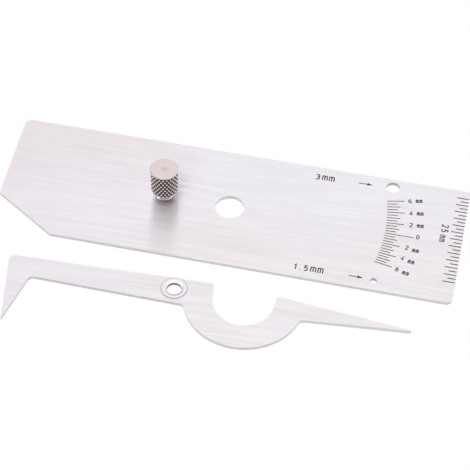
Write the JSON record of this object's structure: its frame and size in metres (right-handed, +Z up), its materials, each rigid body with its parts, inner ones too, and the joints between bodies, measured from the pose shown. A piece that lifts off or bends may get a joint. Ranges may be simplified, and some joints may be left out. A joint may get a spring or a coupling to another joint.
{
  "type": "welding inspection gauge",
  "caption": "Flat steel weld gauge laid out in pieces: plate with hang hole, pore holes and cut corner, knurled thumb screw, and hooked pointer with crescent and needle.",
  "frame": {"origin": "on the hang hole's axis, at the underside of the plate, which is the surface that the pieces lie on", "axes": "+X along the plate towards its graduated end, +Y across the plate away from the pointer, +Z up out of the plate's marked face"},
  "size_m": [0.1011, 0.056, 0.0096],
  "materials": {
    "plate_steel": "cold rolled stainless sheet, finely brushed along its length, laser marked",
    "blade_steel": "cold rolled stainless sheet, finely brushed along the arm, cut edges darker",
    "bush_steel": "turned stainless steel, bright",
    "screw_steel": "turned and diamond knurled steel, nickel plated"
  },
  "bodies": {
    "plate": {"gauge_plate": "plate_steel"},
    "shank": {"screw_shank": "screw_steel"},
    "knob": {"knurled_knob": "screw_steel"},
    "bush": {"pointer_bush": "bush_steel"},
    "pointer": {"pointer_blade": "blade_steel"}
  },
  "joints": [
    {"name": "screw_rise", "type": "slide", "parent": "plate", "child": "shank", "axis": [0, 0, 1], "range_m": [0, 0.0007]},
    {"name": "knob_turn", "type": "hinge", "parent": "shank", "child": "knob", "pos_m": [-0.0145, 0, 0.0014], "axis": [0, 0, 1], "range_deg": [0, 506]},
    {"name": "pointer_lift", "type": "slide", "parent": "plate", "child": "bush", "axis": [-0.2516, 0.782, 0.5703], "range_m": [0, 0.03156]},
    {"name": "pointer_swing", "type": "hinge", "parent": "bush", "child": "pointer", "pos_m": [-0.00656, -0.02468, 0.0004], "axis": [0, 0, 1], "range_deg": [-10, 10]}
  ],
  "couplings": [
    {"joint": "knob_turn", "follows": "screw_rise", "rad_per_m": 12566}
  ]
}
